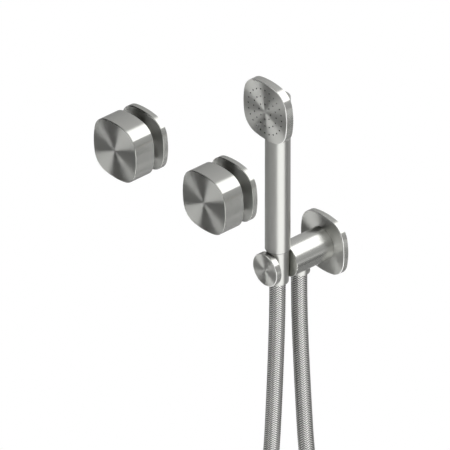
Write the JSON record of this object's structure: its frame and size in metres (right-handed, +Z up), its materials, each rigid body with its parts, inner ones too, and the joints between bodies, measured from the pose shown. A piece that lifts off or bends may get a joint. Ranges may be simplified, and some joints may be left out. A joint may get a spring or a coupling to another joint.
{
  "type": "shower mixer with hand shower",
  "caption": "Brushed steel wall shower mixer trim: square-round quarter-turn knobs on plates, and a hose outlet whose arm holds a stick hand shower on a braided hose",
  "frame": {"origin": "on the wall plane, at the centre of the hose outlet's inlet thread", "axes": "+X right along the wall, +Y into the wall, +Z up"},
  "size_m": [0.3849, 0.0944, 0.77],
  "materials": {
    "steel": "brushed",
    "braid": "satin",
    "brass": "machined",
    "rubber": "matte",
    "plastic": "matte",
    "ceramic": "lapped"
  },
  "bodies": {
    "base": {"hot_wall_plate": "steel", "hot_plate_gasket": "rubber", "hot_collar": "steel", "hot_headwork": "brass", "hot_fixed_disc": "ceramic", "hot_seat_washer": "rubber", "cold_wall_plate": "steel", "cold_plate_gasket": "rubber", "cold_collar": "steel", "cold_headwork": "brass", "cold_fixed_disc": "ceramic", "cold_seat_washer": "rubber", "outlet_flange": "steel", "flange_gasket": "rubber", "flange_seal": "rubber", "outlet_arm": "steel", "inlet_nipple": "brass", "inlet_seal": "rubber", "check_cartridge": "plastic", "holder_disc": "steel", "holder_sleeve": "steel", "seat_ring": "plastic", "hose": "braid", "hose_tail_fitting": "steel", "tail_washer": "rubber", "hose_outlet_fitting": "steel", "outlet_washer": "rubber", "handle_tube": "steel", "handle_tail": "brass", "flow_regulator": "plastic", "spray_head": "steel", "head_back": "steel"},
    "hot_handle": {"hot_knob": "steel", "hot_knob_insert": "brass", "hot_grub_screw": "steel", "hot_spindle": "brass", "hot_spindle_seal": "rubber", "hot_spindle_clip": "steel", "hot_moving_disc": "ceramic"},
    "cold_handle": {"cold_knob": "steel", "cold_knob_insert": "brass", "cold_grub_screw": "steel", "cold_spindle": "brass", "cold_spindle_seal": "rubber", "cold_spindle_clip": "steel", "cold_moving_disc": "ceramic"}
  },
  "joints": [
    {"name": "hot_turn", "type": "hinge", "parent": "base", "child": "hot_handle", "pos_m": [-0.251, -0.029, 0], "axis": [0, -1, 0], "range_deg": [0, 90]},
    {"name": "cold_turn", "type": "hinge", "parent": "base", "child": "cold_handle", "pos_m": [-0.126, -0.029, 0], "axis": [0, -1, 0], "range_deg": [-90, 0]}
  ]
}
